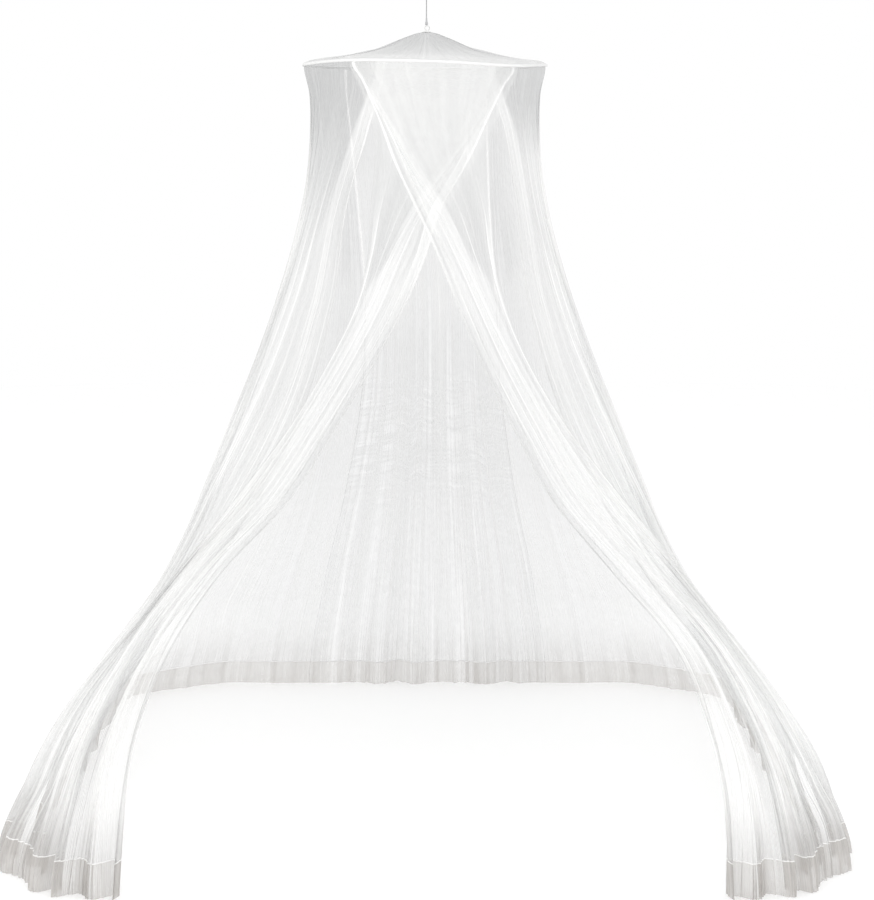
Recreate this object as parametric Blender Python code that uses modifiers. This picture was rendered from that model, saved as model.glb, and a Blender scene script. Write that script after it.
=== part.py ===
"""A round mosquito net canopy: a hoop hung from the ceiling by a cord, a tent-shaped crown on it,
and a bell of fine net that falls from its rim to the floor, open at the front between two
crossed panels.

Metres, +Z up. The origin is the middle of the ceiling plate's top face. The entrance faces -Y.
Angles run around the canopy from the front, positive towards +X. Heights are above the floor.
"""

import math

import bmesh
import bpy
from mathutils import Vector

# Places
FLOOR_Z = -2.700
HOOP_HEIGHT = 2.400
HOOP_X = -0.006
HOOP_RADIUS = 0.415
HOOP_TILT = math.radians(3.0)
HOOP_ROD = 0.0054
GAP = 0.0003

# What the panels' pull adds to the hoop's height: how much, around which angle and how widely,
# and the height down to which the cloth still follows the rod
RIM_PULLS = ((-0.011, 42, 26), (0.006, -35, 26))
RIM_FOLLOW = 1.7

# Rim binding, the sleeve that the hoop is threaded through
BINDING_RADIUS = 0.0050
BINDING_WALL = 0.0012
BINDING_SLOT = math.radians(4.0)
RIM_STEPS = 56

# Cloth
NET_THICKNESS = 0.0012
CROWN_RISE = 0.1185
CROWN_HOLE = 0.009
CROWN_POWER = 1.55
CROWN_COLUMNS = 40
CROWN_RINGS = 8
CROWN_RIPPLES = ((0.0035, 7, 0.9), (0.0022, 12, 2.0))

# Top fittings
PLATE_RADIUS = 0.022
PLATE_THICKNESS = 0.005
HOOK_WIRE = 0.0032
HOOK_BOTTOM_Z = -0.0360
HOOK_BOW = (
    (0.0, -0.0100),
    (-0.0035, -0.0145),
    (-0.0082, -0.0210),
    (-0.0088, -0.0280),
    (-0.0058, -0.0340),
    (0.0, HOOK_BOTTOM_Z),
    (0.0058, -0.0340),
    (0.0088, -0.0280),
    (0.0084, -0.0215),
)
CORD_DIAMETER = 0.0034
KNOT_TOP_Z = -0.0520
KNOT_BOTTOM_Z = -0.0620
CAP_TOP_Z = -0.1370
CAP_BOTTOM_Z = -0.1628
RING_RADIUS = 0.0080
RING_WIRE = 0.0032
RING_X = 0.0020
PATCH_RADIUS = 0.016
PATCH_THICKNESS = 0.0020
PATCH_SEAT = 0.0007
TAB_WIDTH = 0.0044
TAB_THICKNESS = 0.0010

# The bell's level sections: half sizes of a rounded rectangle, how square it is, and how deep the
# wall's folds are
BELL = {
    "columns": ("height", "half_width", "half_depth", "squareness", "fold"),
    "rows": (
        (2.40, 0.415, 0.415, 2.00, 0.0003),
        (2.30, 0.396, 0.396, 2.00, 0.003),
        (2.16, 0.392, 0.392, 2.00, 0.005),
        (2.04, 0.400, 0.398, 2.05, 0.006),
        (1.90, 0.420, 0.415, 2.20, 0.008),
        (1.76, 0.453, 0.442, 2.40, 0.009),
        (1.60, 0.500, 0.482, 2.60, 0.010),
        (1.42, 0.560, 0.535, 2.80, 0.012),
        (1.22, 0.637, 0.602, 3.05, 0.014),
        (1.02, 0.716, 0.670, 3.30, 0.016),
        (0.82, 0.796, 0.742, 3.70, 0.019),
        (0.62, 0.905, 0.838, 4.30, 0.022),
        (0.46, 1.020, 0.938, 4.90, 0.024),
        (0.34, 1.108, 1.012, 5.40, 0.026),
        (0.18, 1.145, 1.050, 6.00, 0.028),
        (0.00, 1.190, 1.095, 6.50, 0.031),
    ),
}

# Where the wall's front edges and the back panel's two seams lie, sideways
WALL_EDGES = {
    "columns": ("height", "front_left", "front_right", "seam_left", "seam_right"),
    "rows": (
        (2.40, -0.127, 0.205, -0.290, 0.225),
        (2.16, -0.185, 0.265, -0.270, 0.230),
        (1.90, -0.256, 0.303, -0.245, 0.240),
        (1.60, -0.296, 0.337, -0.225, 0.265),
        (1.22, -0.408, 0.451, -0.240, 0.290),
        (0.82, -0.645, 0.662, -0.310, 0.350),
        (0.44, -0.930, 0.935, -0.400, 0.430),
        (0.00, -1.090, 1.090, -0.470, 0.490),
    ),
}

# The two front panels: the free hem, where its dense band of gathers ends, the far edge, how far
# the panel lies outside the wall, and how deep its folds are
PANEL_COLUMNS = ("height", "hem", "band", "far", "lift", "fold")
RIGHT_PANEL = {
    "columns": PANEL_COLUMNS,
    "rows": (
        (2.40, -0.231, -0.205, 0.300, 0.0035, 0.0003),
        (2.30, -0.190, -0.158, 0.258, 0.020, 0.003),
        (2.16, -0.129, -0.092, 0.205, 0.030, 0.005),
        (2.04, -0.080, -0.030, 0.195, 0.040, 0.006),
        (1.90, -0.021, 0.048, 0.204, 0.050, 0.007),
        (1.76, 0.036, 0.112, 0.205, 0.052, 0.008),
        (1.60, 0.094, 0.180, 0.234, 0.050, 0.009),
        (1.42, 0.166, 0.264, 0.306, 0.046, 0.010),
        (1.22, 0.262, 0.370, 0.424, 0.044, 0.012),
        (1.02, 0.372, 0.486, 0.577, 0.044, 0.014),
        (0.82, 0.536, 0.654, 0.734, 0.046, 0.017),
        (0.62, 0.705, 0.820, 0.880, 0.051, 0.020),
        (0.44, 0.780, 0.920, 1.010, 0.055, 0.023),
        (0.25, 0.810, 0.985, 1.110, 0.060, 0.026),
        (0.00, 0.800, 1.020, 1.182, 0.064, 0.028),
    ),
}
LEFT_PANEL = {
    "columns": PANEL_COLUMNS,
    "rows": (
        (2.40, 0.291, 0.262, -0.241, 0.000, 0.0003),
        (2.30, 0.250, 0.215, -0.200, 0.010, 0.003),
        (2.16, 0.183, 0.140, -0.160, 0.014, 0.005),
        (2.04, 0.120, 0.060, -0.155, 0.019, 0.006),
        (1.90, 0.047, -0.030, -0.165, 0.024, 0.007),
        (1.76, 0.005, -0.104, -0.172, 0.026, 0.007),
        (1.60, -0.058, -0.168, -0.208, 0.029, 0.008),
        (1.42, -0.152, -0.256, -0.290, 0.032, 0.010),
        (1.22, -0.268, -0.372, -0.405, 0.035, 0.012),
        (1.02, -0.395, -0.500, -0.551, 0.040, 0.014),
        (0.82, -0.578, -0.675, -0.700, 0.046, 0.017),
        (0.62, -0.712, -0.822, -0.850, 0.051, 0.020),
        (0.44, -0.785, -0.920, -1.000, 0.055, 0.023),
        (0.25, -0.815, -0.990, -1.100, 0.052, 0.026),
        (0.00, -0.805, -1.025, -1.182, 0.064, 0.028),
    ),
}

# The wall hangs under the rod's middle, its net is gathered towards its front edges, and the back's
# folds are shallower. A panel has this share of its net in the band beside its hem.
WALL_LIFT = -0.0035
FRONT_GATHER = 1.35
BACK_DEPTH = 0.8
BAND_SHARE = 0.55

# The folds of each cloth: how many there are, how uneven, and where they start
SIDE_FOLDS = {"count": 8.0, "uneven": 0.16, "start": 0.10}
BACK_FOLDS = {"count": 5.0, "uneven": 0.20, "start": 0.35}
PANEL_FOLDS = {"count": 5.5, "uneven": 0.14, "start": 0.25}

# Rows of the bell's mesh, closer together where the wall draws in under the hoop
ROW_HEIGHTS = (
    2.40, 2.35, 2.28, 2.18, 2.06, 1.92, 1.76, 1.60, 1.42,
    1.22, 1.02, 0.84, 0.66, 0.50, 0.36, 0.20, 0.09, 0.00,
)  # fmt: skip


def material(name, colour, roughness, alpha=1.0, metallic=0.0):
    mat = bpy.data.materials.new(name)
    mat.use_nodes = True
    shader = mat.node_tree.nodes["Principled BSDF"]
    shader.inputs["Base Color"].default_value = (*colour, 1.0)
    shader.inputs["Roughness"].default_value = roughness
    shader.inputs["Metallic"].default_value = metallic
    shader.inputs["Alpha"].default_value = alpha
    return mat


def read(table, column, height):
    """A column's value at a height, on a smooth curve through the rows."""
    at = table["columns"].index(column)
    rows = table["rows"]
    if height >= rows[0][0]:
        return rows[0][at]
    if height <= rows[-1][0]:
        return rows[-1][at]
    i = next(i for i in range(len(rows) - 1) if rows[i + 1][0] <= height)

    def slope(j):
        if j == 0 or j == len(rows) - 1:
            return 0.0
        rise = rows[j + 1][at] - rows[j - 1][at]
        return rise / (rows[j + 1][0] - rows[j - 1][0])

    step = rows[i + 1][0] - rows[i][0]
    t = (height - rows[i][0]) / step
    ends = (2 * t**3 - 3 * t**2 + 1) * rows[i][at] + (3 * t**2 - 2 * t**3) * rows[i + 1][at]
    tangents = (t**3 - 2 * t**2 + t) * slope(i) + (t**3 - t**2) * slope(i + 1)
    return ends + step * tangents


def bump(angle, middle, spread):
    """A smooth hill around the middle angle, the same after a whole turn."""
    away = (angle - math.radians(middle) + math.pi) % (2 * math.pi) - math.pi
    return math.exp(-((away / math.radians(spread)) ** 2))


def rim_lift(angle):
    """How far the hoop's rod is above its middle height: it tilts, and the panels pull it."""
    tilt = -math.cos(angle) * HOOP_RADIUS * math.tan(HOOP_TILT)
    return tilt + sum(pull * bump(angle, middle, spread) for pull, middle, spread in RIM_PULLS)


def rim_point(angle):
    x = HOOP_X + HOOP_RADIUS * math.sin(angle)
    y = -HOOP_RADIUS * math.cos(angle)
    return Vector((x, y, FLOOR_Z + HOOP_HEIGHT + rim_lift(angle)))


def bell_point(height, angle, lift):
    """The bell's surface at a height and angle, moved outwards by lift."""
    a = read(BELL, "half_width", height) + lift
    b = read(BELL, "half_depth", height) + lift
    n = read(BELL, "squareness", height)
    reach = (abs(math.sin(angle) / a) ** n + abs(math.cos(angle) / b) ** n) ** (-1 / n)
    # under the hoop the cloth follows the rod's tilt, which fades out further down
    fade = max(0.0, (height - RIM_FOLLOW) / (HOOP_HEIGHT - RIM_FOLLOW)) ** 2
    z = FLOOR_Z + height + rim_lift(angle) * fade
    return Vector((HOOP_X + reach * math.sin(angle), -reach * math.cos(angle), z))


def angle_at(x, height, front=True):
    """The angle at which the bell's front or back is x to the side."""
    a = read(BELL, "half_width", height)
    b = read(BELL, "half_depth", height)
    n = read(BELL, "squareness", height)
    depth = b * (1 - min(0.999, abs(x) / a) ** n) ** (1 / n)
    return math.atan2(x, depth if front else -depth)


def fold_wave(folds, across, height):
    """An uneven wave across a cloth, from -1 to 1, whose folds drift as they fall."""
    drift = 0.25 * math.sin(1.3 * height + 7.0 * across)
    wander = folds["uneven"] * math.sin(2 * math.pi * (1.7 * across + folds["start"]))
    phase = folds["count"] * across + wander * folds["count"] / 4 + folds["start"] + drift
    swell = 0.72 + 0.28 * math.sin(2 * math.pi * (2.3 * across + folds["start"]))
    return swell * math.sin(2 * math.pi * phase)


def under_binding(lift):
    """How far below the rod's middle a cloth's top edge meets the binding, seen in section."""
    inner = max(0.0, abs(lift) - NET_THICKNESS / 2)
    return math.sqrt(BINDING_RADIUS**2 - inner**2) + GAP


def cloth(name, collection, mat, columns, rows, place, thickness=NET_THICKNESS, closed=False):
    """A sheet: a grid whose point at (across, down), each 0 to 1, is placed by a function."""
    bm = bmesh.new()
    bmesh.ops.create_grid(bm, x_segments=columns, y_segments=rows, size=1.0)
    for v in bm.verts:
        v.co = place((v.co.x + 1) / 2, (1 - v.co.y) / 2)
    if closed:
        bmesh.ops.remove_doubles(bm, verts=bm.verts, dist=0.00005)
    mesh = bpy.data.meshes.new(name)
    bm.to_mesh(mesh)
    bm.free()
    return finish(name, mesh, collection, mat, thickness)


def finish(name, mesh, collection, mat, thickness=0.0):
    mesh.shade_smooth()
    obj = bpy.data.objects.new(name, mesh)
    obj.data.materials.append(mat)
    collection.objects.link(obj)
    if thickness:
        solid = obj.modifiers.new("thickness", "SOLIDIFY")
        solid.thickness = thickness
        solid.offset = 0.0
        solid.use_even_offset = False
    return obj


def tube(name, collection, mat, points, diameter, closed=False, resolution=2):
    curve = bpy.data.curves.new(name, "CURVE")
    curve.dimensions = "3D"
    curve.bevel_depth = diameter / 2
    curve.bevel_resolution = resolution
    curve.use_fill_caps = not closed
    spline = curve.splines.new("POLY")
    spline.points.add(len(points) - 1)
    for spot, point in zip(spline.points, points):
        spot.co = (*point, 1.0)
    spline.use_cyclic_u = closed
    obj = bpy.data.objects.new(name, curve)
    curve.materials.append(mat)
    collection.objects.link(obj)
    return obj


def turned(name, collection, mat, profile, steps=24):
    """A solid turned about the Z axis from (radius, z) points that run from top to bottom."""
    bm = bmesh.new()
    spots = [bm.verts.new((r, 0.0, z)) for r, z in profile]
    for a, b in zip(spots, spots[1:]):
        bm.edges.new((a, b))
    mesh = bpy.data.meshes.new(name)
    bm.to_mesh(mesh)
    bm.free()
    obj = finish(name, mesh, collection, mat)
    screw = obj.modifiers.new("turn", "SCREW")
    screw.steps = steps
    screw.render_steps = steps
    screw.use_merge_vertices = True
    screw.merge_threshold = 0.00002
    return obj


def smooth_path(points, steps):
    """Points on a smooth curve through the given ones."""
    padded = [points[0], *points, points[-1]]
    path = []
    for p, q, r, s in zip(padded, padded[1:], padded[2:], padded[3:]):
        for k in range(steps):
            t = k / steps
            path.append(
                0.5 * (2 * q + (r - p) * t + (2 * p - 5 * q + 4 * r - s) * t**2)
                + 0.5 * (3 * q - p - 3 * r + s) * t**3
            )
    return [*path, points[-1]]


def row_height(down):
    spot = down * (len(ROW_HEIGHTS) - 1)
    i = min(int(spot + 1e-6), len(ROW_HEIGHTS) - 2)
    return ROW_HEIGHTS[i] + (ROW_HEIGHTS[i + 1] - ROW_HEIGHTS[i]) * (spot - i)


def hung_point(height, angle, lift, fold):
    """A point of a cloth that hangs from the binding, its top edge seated under the sleeve."""
    point = bell_point(height, angle, lift + fold)
    if height >= ROW_HEIGHTS[0]:
        point.z -= under_binding(lift)
    return point


def add_ceiling_fittings(collection, metal):
    turned(
        "ceiling_plate",
        collection,
        metal,
        (
            (0.0, 0.0),
            (PLATE_RADIUS - 0.001, 0.0),
            (PLATE_RADIUS, -0.001),
            (PLATE_RADIUS, -0.003),
            (PLATE_RADIUS - 0.002, -PLATE_THICKNESS),
            (0.0, -PLATE_THICKNESS),
        ),
        32,
    )
    shank = Vector((0.0, 0.0, -PLATE_THICKNESS - GAP))
    bow = [shank, *(Vector((x, 0.0, z)) for x, z in HOOK_BOW)]
    tube("ceiling_hook", collection, metal, smooth_path(bow, 3), HOOK_WIRE)


def add_hanging_cord(collection, cord, grey):
    thick = CORD_DIAMETER / 2
    top = HOOK_BOTTOM_Z + HOOK_WIRE / 2 + thick + GAP
    bottom = KNOT_TOP_Z + thick + GAP
    middle = (top + bottom) / 2
    steps = 20
    loop = []
    for k in range(steps):
        turn = 2 * math.pi * k / steps
        loop.append(Vector((0.0, 0.0050 * math.sin(turn), middle + (top - middle) * math.cos(turn))))
    tube("cord_loop", collection, cord, loop, CORD_DIAMETER, closed=True)

    turned(
        "cord_knot",
        collection,
        cord,
        (
            (0.0, KNOT_TOP_Z),
            (0.0026, KNOT_TOP_Z - 0.0004),
            (0.0041, KNOT_TOP_Z - 0.0024),
            (0.0036, KNOT_TOP_Z - 0.0048),
            (0.0042, KNOT_TOP_Z - 0.0072),
            (0.0025, KNOT_BOTTOM_Z + 0.0004),
            (0.0, KNOT_BOTTOM_Z),
        ),
        16,
    )
    start, end = CAP_TOP_Z + GAP, KNOT_BOTTOM_Z - GAP
    steps = 10
    run = [Vector((0.0, 0.0, start + (end - start) * k / steps)) for k in range(steps + 1)]
    tube("hanging_cord", collection, cord, run, CORD_DIAMETER)

    turned(
        "cord_cap",
        collection,
        grey,
        (
            (0.0, CAP_TOP_Z),
            (0.0020, CAP_TOP_Z),
            (0.0026, CAP_TOP_Z - 0.0020),
            (0.0034, CAP_TOP_Z - 0.0130),
            (0.0052, CAP_TOP_Z - 0.0200),
            (0.0050, CAP_BOTTOM_Z + 0.0030),
            (0.0036, CAP_BOTTOM_Z + 0.0006),
            (0.0, CAP_BOTTOM_Z),
        ),
        20,
    )


def crown_height(reach):
    """The crown's height over the hoop's middle, a tent that sags between rim and peak."""
    return CROWN_RISE * (1 - reach / HOOP_RADIUS) ** CROWN_POWER


def crown_reach(down):
    """The radius of the crown's rings, which stand closer together at the peak."""
    return CROWN_HOLE + (HOOP_RADIUS - CROWN_HOLE) * down**1.5


def crown_point(across, down):
    angle = 2 * math.pi * across
    reach = crown_reach(down)
    seat = BINDING_RADIUS + GAP + NET_THICKNESS / 2
    belly = max(0.0, math.sin(math.pi * reach / HOOP_RADIUS)) ** 1.5
    ripple = sum(deep * math.sin(often * angle + start) for deep, often, start in CROWN_RIPPLES)
    shared = reach / HOOP_RADIUS
    z = FLOOR_Z + HOOP_HEIGHT + crown_height(reach) + shared**2 * (rim_lift(angle) + seat)
    return Vector(
        (
            HOOP_X * shared + reach * math.sin(angle),
            -reach * math.cos(angle),
            z + belly * ripple,
        )
    )


def add_crown(collection, net, tape, plastic):
    cloth("crown", collection, net, CROWN_COLUMNS, CROWN_RINGS, crown_point, closed=True)

    # the patch lies on the crown's first ring of facets, a plain cone
    second = crown_reach(1 / CROWN_RINGS)
    first_z, second_z = crown_height(CROWN_HOLE), crown_height(second)
    slope = (second_z - first_z) / (second - CROWN_HOLE)
    base = FLOOR_Z + HOOP_HEIGHT + first_z + NET_THICKNESS / 2 + PATCH_SEAT
    rim_z = base + slope * (PATCH_RADIUS - CROWN_HOLE)
    profile = (
        (0.0, base + PATCH_THICKNESS),
        (CROWN_HOLE, base + PATCH_THICKNESS - 0.0004),
        (PATCH_RADIUS, rim_z + PATCH_THICKNESS / 2),
        (PATCH_RADIUS, rim_z),
        (CROWN_HOLE, base),
        (0.0, base),
    )
    turned("apex_patch", collection, tape, profile, 24)

    patch_top = profile[0][1]
    ring_z = CAP_BOTTOM_Z - GAP - RING_RADIUS - RING_WIRE / 2
    turns = 28
    ring = []
    for k in range(turns):
        turn = 2 * math.pi * k / turns
        x = RING_X + RING_RADIUS * math.sin(turn)
        ring.append(Vector((x, 0.0, ring_z - RING_RADIUS * math.cos(turn))))
    tube("top_ring", collection, plastic, ring, RING_WIRE, closed=True)

    # a short tape loop that holds the ring's lowest point down to the patch
    wire_z = ring_z - RING_RADIUS
    bend = RING_WIRE / 2 + 2 * GAP + TAB_THICKNESS / 2
    foot = patch_top + GAP

    def tab_point(across, down):
        turn = math.pi * (down * 1.5 - 0.25)
        y = -bend * math.cos(min(math.pi, max(0.0, turn)))
        if 0.0 <= turn <= math.pi:
            z = wire_z + bend * math.sin(turn)
        else:
            leg = -turn if turn < 0 else turn - math.pi
            z = wire_z + (foot - wire_z) * leg / (math.pi / 4)
        return Vector((RING_X + TAB_WIDTH * (across - 0.5), y, z))

    cloth("ring_tab", collection, tape, 2, 18, tab_point, TAB_THICKNESS)


def add_hoop(collection, rod, tape):
    ring = [rim_point(2 * math.pi * k / RIM_STEPS) for k in range(RIM_STEPS)]
    tube("hoop", collection, rod, ring, HOOP_ROD, closed=True)

    def sleeve_point(across, down):
        # the sleeve's two ends stop short of each other at the back, where the rod goes in
        angle = math.pi + BINDING_SLOT + (2 * math.pi - 2 * BINDING_SLOT) * across
        angle -= 2 * math.pi if angle > math.pi else 0.0
        turn = 2 * math.pi * down
        out = Vector((math.sin(angle), -math.cos(angle), 0.0))
        middle = BINDING_RADIUS - BINDING_WALL / 2
        up = Vector((0.0, 0.0, 1.0))
        return rim_point(angle) + middle * (math.cos(turn) * out + math.sin(turn) * up)

    cloth("rim_binding", collection, tape, RIM_STEPS, 8, sleeve_point, BINDING_WALL, closed=True)


def add_walls(collection, net):
    """The wall of the bell: two sides with gathered front edges, and the back between seams."""
    for side, sign in (("left", -1), ("right", 1)):

        def side_point(across, down, side=side, sign=sign):
            height = row_height(down)
            front = angle_at(read(WALL_EDGES, f"front_{side}", height), height)
            seam = angle_at(read(WALL_EDGES, f"seam_{side}", height), height, front=False)
            apart = sign * (GAP + NET_THICKNESS / 2) / HOOP_RADIUS
            # the cloth is gathered towards its front edge, so the folds stand closer there
            angle = front + (seam - apart - front) * across**FRONT_GATHER
            depth = read(BELL, "fold", height) * (0.45 + 0.55 * min(1.0, 3 * across))
            settle = min(1.0, 6 * (1 - across))
            fold = depth * settle * fold_wave(SIDE_FOLDS, across, height)
            return hung_point(height, angle, WALL_LIFT, fold)

        cloth(f"wall_{side}", collection, net, 34, len(ROW_HEIGHTS) - 1, side_point)

    def back_point(across, down):
        height = row_height(down)
        left = angle_at(read(WALL_EDGES, "seam_left", height), height, front=False)
        right = angle_at(read(WALL_EDGES, "seam_right", height), height, front=False)
        right -= 2 * math.pi
        apart = (GAP + NET_THICKNESS / 2) / HOOP_RADIUS
        angle = left - apart + (right + 2 * apart - left) * across
        settle = min(1.0, 5 * across, 5 * (1 - across))
        depth = read(BELL, "fold", height) * BACK_DEPTH
        fold = depth * settle * fold_wave(BACK_FOLDS, across, height)
        return hung_point(height, angle, WALL_LIFT, fold)

    cloth("wall_back", collection, net, 22, len(ROW_HEIGHTS) - 1, back_point)


def add_front_panels(collection, net):
    """Two panels that hang over the entrance and cross, each swept to its own side."""
    for name, table in (("panel_right", RIGHT_PANEL), ("panel_left", LEFT_PANEL)):

        def panel_point(across, down, table=table):
            height = row_height(down)
            hem = angle_at(read(table, "hem", height), height)
            band = angle_at(read(table, "band", height), height)
            far = angle_at(read(table, "far", height), height)
            if across < BAND_SHARE:
                angle = hem + (band - hem) * across / BAND_SHARE
            else:
                angle = band + (far - band) * (across - BAND_SHARE) / (1 - BAND_SHARE)
            lift = read(table, "lift", height)
            fold = read(table, "fold", height) * fold_wave(PANEL_FOLDS, across, height)
            return hung_point(height, angle, lift, fold)

        cloth(name, collection, net, 26, len(ROW_HEIGHTS) - 1, panel_point)


def main():
    for obj in list(bpy.data.objects):
        bpy.data.objects.remove(obj, do_unlink=True)
    collection = bpy.data.collections.new("mosquito_net_canopy")
    bpy.context.scene.collection.children.link(collection)

    net = material("white_net", (0.88, 0.87, 0.85), 0.85, alpha=0.5)
    tape = material("white_tape", (0.90, 0.90, 0.89), 0.80)
    cord = material("grey_cord", (0.42, 0.42, 0.43), 0.75)
    grey = material("grey_cap", (0.45, 0.45, 0.46), 0.55)
    plastic = material("white_plastic", (0.86, 0.86, 0.85), 0.35)
    rod = material("white_rod", (0.85, 0.85, 0.84), 0.40)
    metal = material("white_metal", (0.82, 0.82, 0.81), 0.35)

    add_ceiling_fittings(collection, metal)
    add_hanging_cord(collection, cord, grey)
    add_crown(collection, net, tape, plastic)
    add_hoop(collection, rod, tape)
    add_walls(collection, net)
    add_front_panels(collection, net)


main()
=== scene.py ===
# A mosquito net canopy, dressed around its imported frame: fine net, hems, hoop sleeve, cord.
import math

import bmesh
import bpy
import numpy as np
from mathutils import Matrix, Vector


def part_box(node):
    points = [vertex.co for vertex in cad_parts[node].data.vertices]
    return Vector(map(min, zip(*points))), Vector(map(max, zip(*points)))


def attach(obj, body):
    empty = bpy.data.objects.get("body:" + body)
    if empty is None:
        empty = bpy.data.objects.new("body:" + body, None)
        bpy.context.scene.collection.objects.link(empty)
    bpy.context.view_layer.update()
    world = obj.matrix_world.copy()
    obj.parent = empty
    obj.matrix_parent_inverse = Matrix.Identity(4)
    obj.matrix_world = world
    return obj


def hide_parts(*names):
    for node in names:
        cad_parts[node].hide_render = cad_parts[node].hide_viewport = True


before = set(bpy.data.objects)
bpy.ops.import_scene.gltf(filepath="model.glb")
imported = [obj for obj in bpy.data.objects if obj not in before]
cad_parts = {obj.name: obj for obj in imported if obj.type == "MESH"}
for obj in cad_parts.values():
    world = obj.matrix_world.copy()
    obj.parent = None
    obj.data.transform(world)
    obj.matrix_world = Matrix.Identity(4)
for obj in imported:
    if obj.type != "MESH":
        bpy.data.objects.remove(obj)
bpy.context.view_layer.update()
print("frame loaded:", len(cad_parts), "nodes")

studio = {
    "cameraPlace": (0.0, -5.977, -0.811),
    "lens": 70.0,
    "sensor": 36.0,
    "shiftX": (437 - 426.5) / 900,
    "shiftY": -(450 - 215) / 900,
    "floorZ": -2.7012,
    "floorRadius": 14.0,
    "floorColour": (0.95, 0.95, 0.95),
    "floorGlow": 0.048,
    "skyColour": (1.0, 1.0, 1.0),
    "skyStrength": 1.0,
    "aim": (0.0, 0.0, -1.3),             # what the lamps point at
    "netBounces": 48,                    # how many layers of net a ray may pass
}
# name, place, size, power, warmth
lamps = (
    ("keyLight", (-3.6, -5.2, 1.6), 3.0, 78.0, (1.0, 0.99, 0.97)),
    ("fillLight", (4.2, -4.0, 0.2), 3.5, 29.0, (0.97, 0.985, 1.0)),
    ("backLight", (0.5, 4.5, 1.8), 3.0, 18.0, (1.0, 1.0, 1.0)),
)


def placed(name, data):
    obj = bpy.data.objects.new(name, data)
    bpy.context.scene.collection.objects.link(obj)
    return obj


def addCamera():
    camera = placed("camera", bpy.data.cameras.new("camera"))
    camera.location = studio["cameraPlace"]
    camera.rotation_euler = (math.pi / 2, 0.0, 0.0)
    camera.data.lens = studio["lens"]
    camera.data.sensor_width = studio["sensor"]
    camera.data.shift_x = studio["shiftX"]
    camera.data.shift_y = studio["shiftY"]
    bpy.context.scene.camera = camera


def addLight():
    for name, place, size, power, warmth in lamps:
        lamp = bpy.data.lights.new(name, "AREA")
        lamp.shape = "DISK"
        lamp.size = size
        lamp.energy = power
        lamp.color = warmth
        obj = placed(name, lamp)
        obj.location = place
        aim = Vector(studio["aim"]) - Vector(place)
        obj.rotation_euler = aim.to_track_quat("-Z", "Y").to_euler()
    world = bpy.data.worlds.new("studio")
    world.use_nodes = True
    sky = world.node_tree.nodes["Background"]
    sky.inputs["Color"].default_value = (*studio["skyColour"], 1.0)
    sky.inputs["Strength"].default_value = studio["skyStrength"]
    bpy.context.scene.world = world
    bpy.context.scene.view_settings.view_transform = "Standard"
    bpy.context.scene.cycles.transparent_max_bounces = studio["netBounces"]


class Wire:
    # a socket that takes part in Python sums
    def __init__(self, shader, socket):
        self.shader, self.socket = shader, socket

    def __add__(self, other):
        return self.shader.maths("ADD", self, other)

    def __mul__(self, other):
        return self.shader.maths("MULTIPLY", self, other)

    def __sub__(self, other):
        return self.shader.maths("SUBTRACT", self, other)

    def __rsub__(self, other):
        return self.shader.maths("SUBTRACT", other, self)

    def __gt__(self, other):
        return self.shader.maths("GREATER_THAN", self, other)

    def __abs__(self):
        return self.shader.maths("ABSOLUTE", self)

    __radd__ = __add__
    __rmul__ = __mul__

    def sine(self):
        return self.shader.maths("SINE", self)

    def clamped(self):
        return self.shader.maths("ADD", self, 0.0, use_clamp=True)

    def least(self, other):
        return self.shader.maths("MINIMUM", self, other)

    def most(self, other):
        return self.shader.maths("MAXIMUM", self, other)

    def eased(self, low, high):
        # 0 below low, 1 above high, smooth between
        values = {"Value": self, "From Min": low, "From Max": high}
        return self.shader.node("MapRange", {"interpolation_type": "SMOOTHSTEP"}, values)


class Shader:
    # one material, whose nodes come from node() and hand back their sockets as wires
    def __init__(self, name):
        self.material = bpy.data.materials.new(name)
        self.material.use_nodes = True
        self.tree = self.material.node_tree
        self.tree.nodes.clear()

    def node(self, kind, settings=None, values=None, out=0):
        made = self.tree.nodes.new("ShaderNode" + kind)
        for key, value in (settings or {}).items():
            setattr(made, key, value)
        for key, value in (values or {}).items():
            socket = made.inputs[key]
            if isinstance(value, Wire):
                self.tree.links.new(value.socket, socket)
            else:
                socket.default_value = value
        return Wire(self, made.outputs[out]) if len(made.outputs) else None

    def maths(self, operation, a, b=0.0, **settings):
        return self.node("Math", {"operation": operation, **settings}, {0: a, 1: b})

    def attribute(self, name):
        return self.node("Attribute", {"attribute_name": name}, out="Fac")

    def place(self):
        return self.node("TexCoord", out="Object")

    def axes(self, vector):
        parts = self.node("SeparateXYZ", values={"Vector": vector}).socket.node
        return [Wire(self, parts.outputs[axis]) for axis in "XYZ"]

    def noise(self, vector, scale, detail=1.0, shift=(0.0, 0.0, 0.0), flat=False):
        spot = self.node("Mapping", values={"Vector": vector, "Scale": scale, "Location": shift})
        size = {"noise_dimensions": "2D"} if flat else {}
        return self.node("TexNoise", size, {"Vector": spot, "Scale": 1.0, "Detail": detail})

    def blend(self, factor, a, b):
        colours = {"Factor": factor, 6: a, 7: b}
        return self.node("Mix", {"data_type": "RGBA"}, colours, out=2)

    def finish(self, height=None, distance=0.001, strength=1.0, **values):
        if height is not None:
            bump = {"Height": height, "Distance": distance, "Strength": strength}
            values["Normal"] = self.node("Bump", values=bump)
        named = {key.replace("_", " "): value for key, value in values.items()}
        surface = self.node("BsdfPrincipled", values=named)
        self.node("OutputMaterial", values={"Surface": surface})
        return self.material


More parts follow.
